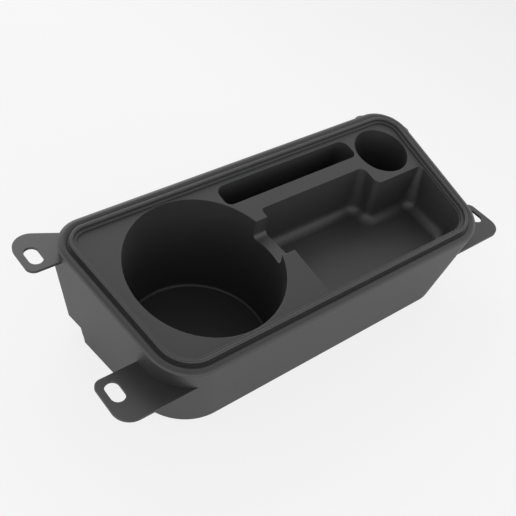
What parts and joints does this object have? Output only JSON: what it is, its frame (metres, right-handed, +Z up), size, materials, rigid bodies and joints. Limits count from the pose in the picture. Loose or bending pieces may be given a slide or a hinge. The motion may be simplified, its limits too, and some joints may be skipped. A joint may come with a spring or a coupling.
{
  "type": "car cup holder insert",
  "caption": "Console insert moulded in one piece: deep cup well, tray, slot and small round well in a sloping rimmed deck, with slotted fixing ears.",
  "frame": {"origin": "middle of the base, on the plane that the tub stands on", "axes": "+X along the length from the cup well to the small round well, +Y to the back, where the deck is higher, +Z up out of the wells"},
  "size_m": [0.2674, 0.1189, 0.0715],
  "materials": {
    "black_plastic": "fine matt moulded texture, charcoal black"
  },
  "bodies": {
    "root": {"cup_holder_tray": "black_plastic"}
  },
  "joints": []
}
